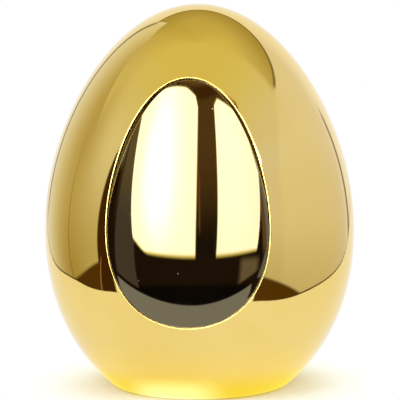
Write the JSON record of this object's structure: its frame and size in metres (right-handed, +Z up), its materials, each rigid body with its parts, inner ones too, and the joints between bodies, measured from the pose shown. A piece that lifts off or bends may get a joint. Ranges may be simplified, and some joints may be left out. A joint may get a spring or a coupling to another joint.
{
  "type": "decorative egg",
  "caption": "Standing polished gold egg with a flat foot and a smaller dark glossy egg let into its front.",
  "frame": {"origin": "middle of the felt pad's resting face, on the outer egg's own axis", "axes": "+Z up the outer egg's axis to its tip, -Y out of the front where the inner egg is, +X to the right of someone who looks at the front"},
  "size_m": [0.1212, 0.1221, 0.15],
  "materials": {
    "gold_polish": "mirror polished and gold plated",
    "black_glaze": "high gloss black glaze",
    "raw_brass": "turned, unpolished",
    "plated_steel": "zinc plated",
    "gasket_rubber": "matte",
    "felt": "dense pressed felt"
  },
  "bodies": {
    "root": {"outer_shell": "gold_polish", "inner_egg": "black_glaze", "seat_frame": "raw_brass", "seat_gasket": "gasket_rubber", "clamp_stud": "plated_steel", "clamp_bar": "plated_steel", "clamp_washer": "plated_steel", "clamp_nut": "plated_steel", "foot_ring": "raw_brass", "base_plate": "plated_steel", "base_screws": "plated_steel", "felt_pad": "felt"}
  },
  "joints": []
}
